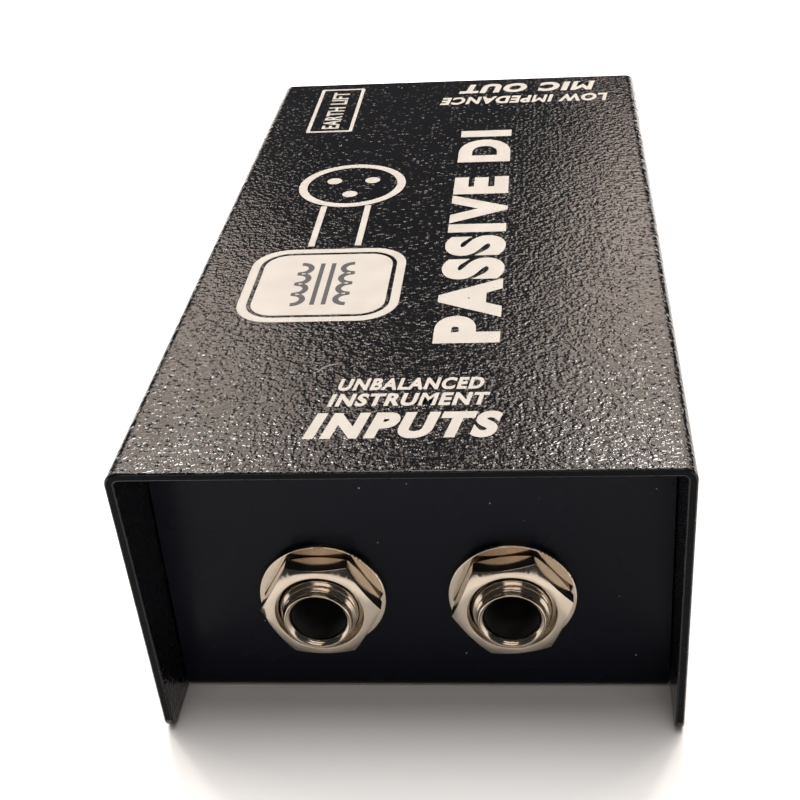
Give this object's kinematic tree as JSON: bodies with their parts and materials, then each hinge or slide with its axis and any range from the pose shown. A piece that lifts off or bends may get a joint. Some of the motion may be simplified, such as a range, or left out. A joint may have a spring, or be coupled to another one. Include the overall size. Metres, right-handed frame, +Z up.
{
  "type": "direct injection box",
  "caption": "Passive direct injection box: folded steel case, quarter-inch input jacks at one end, three-pin output and ground-lift slide switch at the other, transformer inside.",
  "frame": {"origin": "on the resting plane, under the middle of the box", "axes": "+Y along the box from the jack end to the output end, +X across it, +Z up"},
  "size_m": [0.0672, 0.1244, 0.0406],
  "materials": {
    "wrinkle_black": "fine wrinkle powder coat with glossy peaks",
    "satin_black": "satin powder coat with slight orange peel",
    "black_screw": "black zinc, semi gloss",
    "nickel": "bright nickel plate, warm",
    "tinned_brass": "tin plated",
    "phenolic": "brown laminated phenolic, matt",
    "black_nickel": "black chromate die casting, satin",
    "black_plastic": "moulded, fine texture",
    "gold_pin": "gold flash, polished",
    "zinc_steel": "bright zinc plate",
    "core_steel": "varnished laminations",
    "bobbin_nylon": "natural nylon",
    "winding_tape": "yellow polyester tape, semi gloss",
    "lead_red": "PVC insulation",
    "lead_white": "PVC insulation",
    "lead_blue": "PVC insulation",
    "lead_black": "PVC insulation"
  },
  "bodies": {
    "case": {"base_chassis": "satin_black", "cover_screws": "black_screw", "jack_left_frame": "nickel", "jack_left_insulators": "phenolic", "jack_left_nut": "nickel", "jack_left_rivet": "tinned_brass", "jack_left_sleeve_lug": "tinned_brass", "jack_left_tip_lug": "tinned_brass", "jack_left_washer": "nickel", "jack_right_frame": "nickel", "jack_right_insulators": "phenolic", "jack_right_nut": "nickel", "jack_right_rivet": "tinned_brass", "jack_right_sleeve_lug": "tinned_brass", "jack_right_tip_lug": "tinned_brass", "jack_right_washer": "nickel", "lead_ground_to_switch": "lead_black", "lead_primary_hot": "lead_red", "lead_primary_return": "lead_black", "lead_secondary_a": "lead_white", "lead_secondary_b": "lead_blue", "lead_sleeve_link": "lead_black", "lead_switch_to_output": "lead_black", "lead_tip_link": "lead_red", "output_insert": "black_plastic", "output_nuts": "zinc_steel", "output_pins": "gold_pin", "output_screws": "black_screw", "output_shell": "black_nickel", "switch_frame": "zinc_steel", "switch_screws": "black_screw", "switch_terminal_board": "phenolic", "switch_terminals": "tinned_brass", "top_cover": "wrinkle_black", "transformer_bobbin": "bobbin_nylon", "transformer_bracket": "zinc_steel", "transformer_core": "core_steel", "transformer_nuts": "zinc_steel", "transformer_studs": "zinc_steel", "transformer_winding": "winding_tape"},
    "slider": {"switch_slider": "black_plastic", "switch_wiper": "tinned_brass"},
    "left_spring": {"jack_left_tip_spring": "tinned_brass"},
    "right_spring": {"jack_right_tip_spring": "tinned_brass"}
  },
  "joints": [
    {"name": "ground_lift_slide", "type": "slide", "parent": "case", "child": "slider", "axis": [0, 0, 1], "range_m": [0, 0.0045]},
    {"name": "left_tip_flex", "type": "hinge", "parent": "case", "child": "left_spring", "pos_m": [-0.0115, -0.04315, 0.02565], "axis": [1, 0, 0], "range_deg": [0, 6], "stiffness_Nm_per_rad": 0.3},
    {"name": "right_tip_flex", "type": "hinge", "parent": "case", "child": "right_spring", "pos_m": [0.0115, -0.04315, 0.02565], "axis": [1, 0, 0], "range_deg": [0, 6], "stiffness_Nm_per_rad": 0.3}
  ]
}
